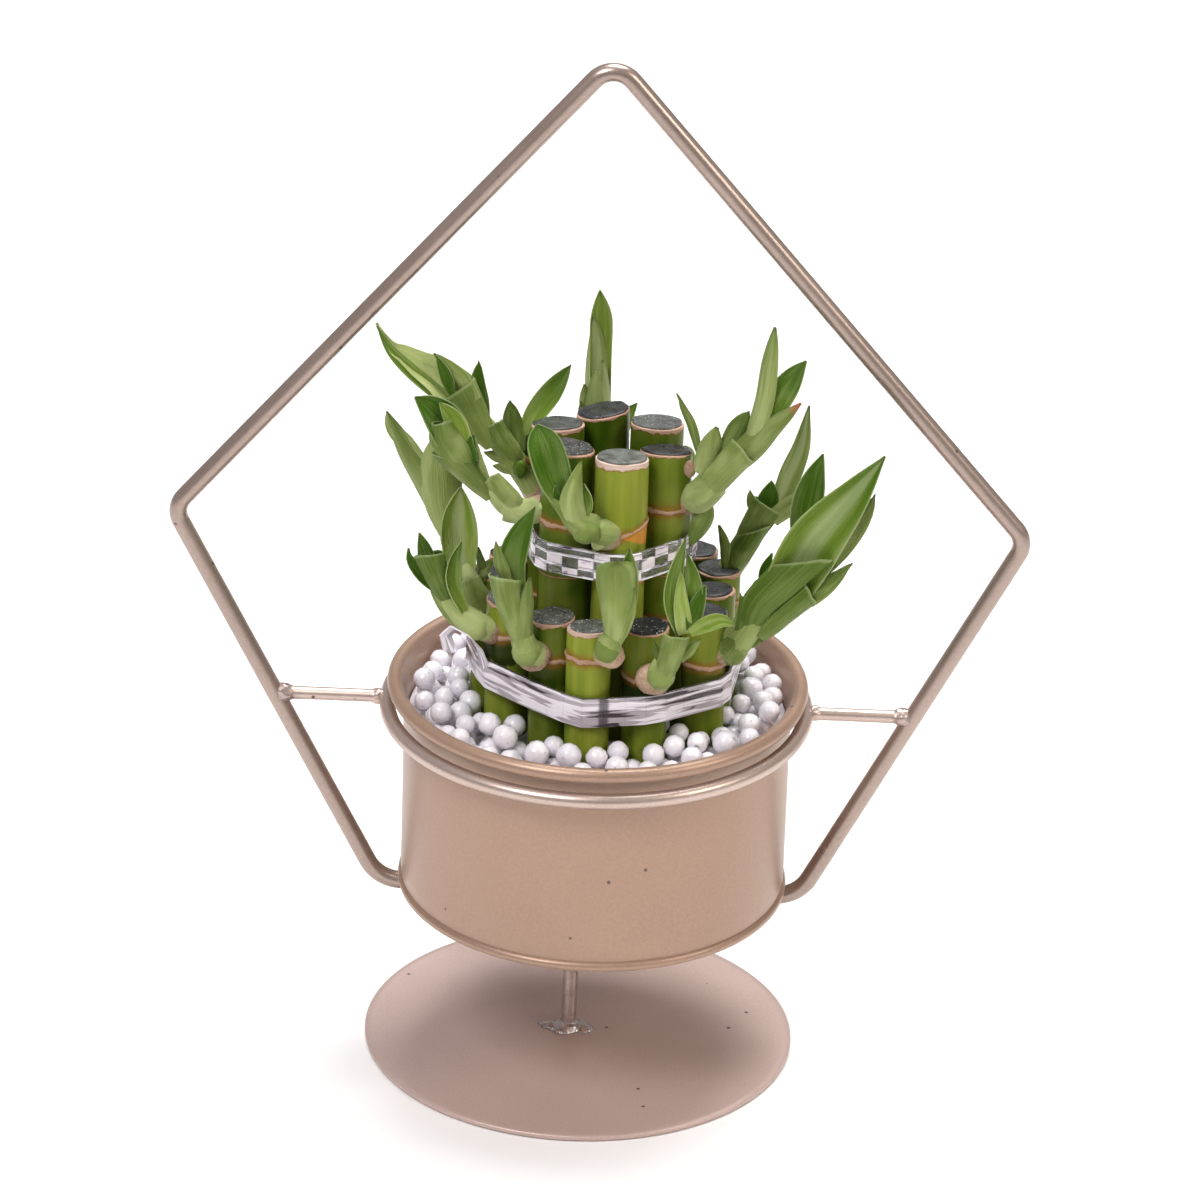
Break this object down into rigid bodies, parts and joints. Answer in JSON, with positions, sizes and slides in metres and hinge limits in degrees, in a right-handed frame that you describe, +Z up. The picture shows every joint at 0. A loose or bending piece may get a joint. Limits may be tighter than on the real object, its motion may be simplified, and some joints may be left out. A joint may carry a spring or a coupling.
{
  "type": "potted lucky bamboo on a rod stand",
  "caption": "Two-tier lucky bamboo tied by clear bands, in a beaded metal pot held in a kite-shaped rod stand on a round base plate.",
  "frame": {"origin": "on the base plate's underside, straight below the middle of the rod loop", "axes": "+Z up, X along the rod loop's width, the plant's front faces -Y"},
  "size_m": [0.2222, 0.1144, 0.2776],
  "materials": {
    "painted_plate": "satin champagne paint with a fine metallic grain",
    "painted_rod": "satin champagne paint with a metallic grain",
    "painted_pot": "satin tan champagne paint with a fine metallic grain",
    "bare_weld_steel": "thinly painted steel with a bright weld",
    "pearl_beads": "pearly white with silver flecks",
    "cane": "smooth waxy green skin with pale brown node scars",
    "cane_wax": "thin grey-green wax over a pale cut rim",
    "leaf": "smooth green leaf with parallel veins and a pale margin",
    "clear_band": "clear faceted plastic strap with silvery facets"
  },
  "bodies": {
    "root": {"base_plate": "painted_plate", "post": "bare_weld_steel", "frame_rod": "painted_rod", "holder_ring": "painted_rod", "pot": "painted_pot", "bead_bed": "pearl_beads", "band_inner": "clear_band", "band_outer": "clear_band", "cane_inner_1": "cane", "seal_inner_1": "cane_wax", "cane_inner_2": "cane", "seal_inner_2": "cane_wax", "cane_inner_3": "cane", "seal_inner_3": "cane_wax", "cane_inner_4": "cane", "seal_inner_4": "cane_wax", "cane_inner_5": "cane", "seal_inner_5": "cane_wax", "cane_inner_6": "cane", "seal_inner_6": "cane_wax", "cane_outer_1": "cane", "seal_outer_1": "cane_wax", "cane_outer_2": "cane", "seal_outer_2": "cane_wax", "cane_outer_3": "cane", "seal_outer_3": "cane_wax", "cane_outer_4": "cane", "seal_outer_4": "cane_wax", "cane_outer_5": "cane", "seal_outer_5": "cane_wax", "cane_outer_6": "cane", "seal_outer_6": "cane_wax", "cane_outer_7": "cane", "seal_outer_7": "cane_wax", "cane_outer_8": "cane", "seal_outer_8": "cane_wax", "cane_outer_9": "cane", "seal_outer_9": "cane_wax", "cane_outer_10": "cane", "seal_outer_10": "cane_wax", "cane_outer_11": "cane", "seal_outer_11": "cane_wax", "cane_outer_12": "cane", "seal_outer_12": "cane_wax", "cane_outer_13": "cane", "seal_outer_13": "cane_wax", "shoot_front_left": "leaf", "shoot_left_high": "leaf", "shoot_left_mid": "leaf", "shoot_left_back": "leaf", "shoot_left_tall": "leaf", "shoot_left_low": "leaf", "shoot_front_low_left": "leaf", "shoot_front": "leaf", "shoot_front_right": "leaf", "shoot_right_big": "leaf", "shoot_right_back": "leaf", "shoot_right_high": "leaf", "shoot_back": "leaf", "shoot_back_right": "leaf"}
  },
  "joints": []
}
